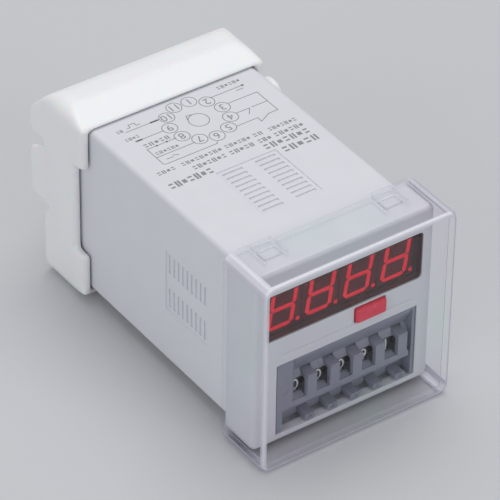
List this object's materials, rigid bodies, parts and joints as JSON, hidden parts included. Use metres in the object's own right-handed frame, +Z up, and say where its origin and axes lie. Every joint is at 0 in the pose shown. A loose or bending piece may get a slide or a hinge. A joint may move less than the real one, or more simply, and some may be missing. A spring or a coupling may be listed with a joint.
{
  "type": "panel counter",
  "caption": "Square plug-in preset panel counter with a red digital display, push-button number wheels, a clear dust cover and a slide-on panel bracket.",
  "frame": {"origin": "centre of the bounding box at its lowest level, on the surface that the part rests on", "axes": "+Z up, the display looks along -Y, the plug's pins point along +Y, +X to the right of a person who reads the display"},
  "size_m": [0.051, 0.1006, 0.0512],
  "materials": {
    "case_grey": "fine spark-eroded texture",
    "nylon_white": "smooth moulded nylon",
    "bezel_grey": "fine matt texture",
    "clear_plastic": "polished clear plastic",
    "red_filter": "polished dark red filter",
    "display_block": "matt black with red segments",
    "button_red": "smooth moulded",
    "switch_grey": "satin moulded",
    "wheel_black": "satin moulded with white printed digits",
    "board_green": "lacquered laminate",
    "pin_brass": "nickel-plated brass",
    "core_steel": "varnished sheet stack",
    "coil_tape": "winding under yellow tape",
    "relay_blue": "moulded cover",
    "capacitor_sleeve": "shrunk sleeve on an aluminium can"
  },
  "bodies": {
    "counter": {"case": "case_grey", "bezel": "bezel_grey", "window": "red_filter", "digit_block_1": "display_block", "digit_block_2": "display_block", "digit_block_3": "display_block", "digit_block_4": "display_block", "display_board": "board_green", "reset_switch": "display_block", "switch_frame": "switch_grey", "switch_board": "board_green", "wheel_carrier_1": "switch_grey", "wheel_carrier_2": "switch_grey", "wheel_carrier_3": "switch_grey", "wheel_carrier_4": "switch_grey", "wheel_carrier_5": "switch_grey", "power_board": "board_green", "logic_board": "board_green", "transformer_core": "core_steel", "transformer_coil": "coil_tape", "relay": "relay_blue", "capacitor": "capacitor_sleeve", "counter_chip": "display_block", "plug_base": "nylon_white", "pin_01": "pin_brass", "pin_02": "pin_brass", "pin_03": "pin_brass", "pin_04": "pin_brass", "pin_05": "pin_brass", "pin_06": "pin_brass", "pin_07": "pin_brass", "pin_08": "pin_brass", "pin_09": "pin_brass", "pin_10": "pin_brass", "pin_11": "pin_brass"},
    "reset_button": {"reset_button": "button_red"},
    "reset_plunger": {"reset_plunger": "switch_grey"},
    "upper_key_1": {"upper_key_1": "switch_grey"},
    "upper_key_2": {"upper_key_2": "switch_grey"},
    "upper_key_3": {"upper_key_3": "switch_grey"},
    "upper_key_4": {"upper_key_4": "switch_grey"},
    "upper_key_5": {"upper_key_5": "switch_grey"},
    "lower_key_1": {"lower_key_1": "switch_grey"},
    "lower_key_2": {"lower_key_2": "switch_grey"},
    "lower_key_3": {"lower_key_3": "switch_grey"},
    "lower_key_4": {"lower_key_4": "switch_grey"},
    "lower_key_5": {"lower_key_5": "switch_grey"},
    "number_wheel_1": {"number_wheel_1": "wheel_black"},
    "number_wheel_2": {"number_wheel_2": "wheel_black"},
    "number_wheel_3": {"number_wheel_3": "wheel_black"},
    "number_wheel_4": {"number_wheel_4": "wheel_black"},
    "number_wheel_5": {"number_wheel_5": "wheel_black"},
    "clear_cover": {"clear_cover": "clear_plastic"},
    "bracket": {"bracket": "nylon_white"}
  },
  "joints": [
    {"name": "reset_press", "type": "slide", "parent": "counter", "child": "reset_button", "axis": [0, 1, 0], "range_m": [0, 0.0008], "stiffness_N_per_m": 400, "springref_m": -0.0008},
    {"name": "plunger_press", "type": "slide", "parent": "counter", "child": "reset_plunger", "axis": [0, 1, 0], "range_m": [0, 0.0008]},
    {"name": "upper_press_1", "type": "slide", "parent": "counter", "child": "upper_key_1", "axis": [0, 1, 0], "range_m": [0, 0.0012], "stiffness_N_per_m": 300, "springref_m": -0.001},
    {"name": "upper_press_2", "type": "slide", "parent": "counter", "child": "upper_key_2", "axis": [0, 1, 0], "range_m": [0, 0.0012], "stiffness_N_per_m": 300, "springref_m": -0.001},
    {"name": "upper_press_3", "type": "slide", "parent": "counter", "child": "upper_key_3", "axis": [0, 1, 0], "range_m": [0, 0.0012], "stiffness_N_per_m": 300, "springref_m": -0.001},
    {"name": "upper_press_4", "type": "slide", "parent": "counter", "child": "upper_key_4", "axis": [0, 1, 0], "range_m": [0, 0.0012], "stiffness_N_per_m": 300, "springref_m": -0.001},
    {"name": "upper_press_5", "type": "slide", "parent": "counter", "child": "upper_key_5", "axis": [0, 1, 0], "range_m": [0, 0.0012], "stiffness_N_per_m": 300, "springref_m": -0.001},
    {"name": "lower_press_1", "type": "slide", "parent": "counter", "child": "lower_key_1", "axis": [0, 1, 0], "range_m": [0, 0.0012], "stiffness_N_per_m": 300, "springref_m": -0.001},
    {"name": "lower_press_2", "type": "slide", "parent": "counter", "child": "lower_key_2", "axis": [0, 1, 0], "range_m": [0, 0.0012], "stiffness_N_per_m": 300, "springref_m": -0.001},
    {"name": "lower_press_3", "type": "slide", "parent": "counter", "child": "lower_key_3", "axis": [0, 1, 0], "range_m": [0, 0.0012], "stiffness_N_per_m": 300, "springref_m": -0.001},
    {"name": "lower_press_4", "type": "slide", "parent": "counter", "child": "lower_key_4", "axis": [0, 1, 0], "range_m": [0, 0.0012], "stiffness_N_per_m": 300, "springref_m": -0.001},
    {"name": "lower_press_5", "type": "slide", "parent": "counter", "child": "lower_key_5", "axis": [0, 1, 0], "range_m": [0, 0.0012], "stiffness_N_per_m": 300, "springref_m": -0.001},
    {"name": "wheel_turn_1", "type": "hinge", "parent": "counter", "child": "number_wheel_1", "pos_m": [-0.01145, -0.03755, 0.0139], "axis": [1, 0, 0], "continuous": true},
    {"name": "wheel_turn_2", "type": "hinge", "parent": "counter", "child": "number_wheel_2", "pos_m": [-0.00528, -0.03755, 0.0139], "axis": [1, 0, 0], "continuous": true},
    {"name": "wheel_turn_3", "type": "hinge", "parent": "counter", "child": "number_wheel_3", "pos_m": [0.00089, -0.03755, 0.0139], "axis": [1, 0, 0], "continuous": true},
    {"name": "wheel_turn_4", "type": "hinge", "parent": "counter", "child": "number_wheel_4", "pos_m": [0.00706, -0.03755, 0.0139], "axis": [1, 0, 0], "continuous": true},
    {"name": "wheel_turn_5", "type": "hinge", "parent": "counter", "child": "number_wheel_5", "pos_m": [0.01323, -0.03755, 0.0139], "axis": [1, 0, 0], "continuous": true},
    {"name": "cover_pull", "type": "slide", "parent": "counter", "child": "clear_cover", "axis": [0, -1, 0], "range_m": [0, 0.018]},
    {"name": "bracket_slide", "type": "slide", "parent": "counter", "child": "bracket", "axis": [0, 1, 0], "range_m": [-0.047, 0.025]}
  ],
  "couplings": [
    {"joint": "plunger_press", "follows": "reset_press", "ratio": 1}
  ]
}
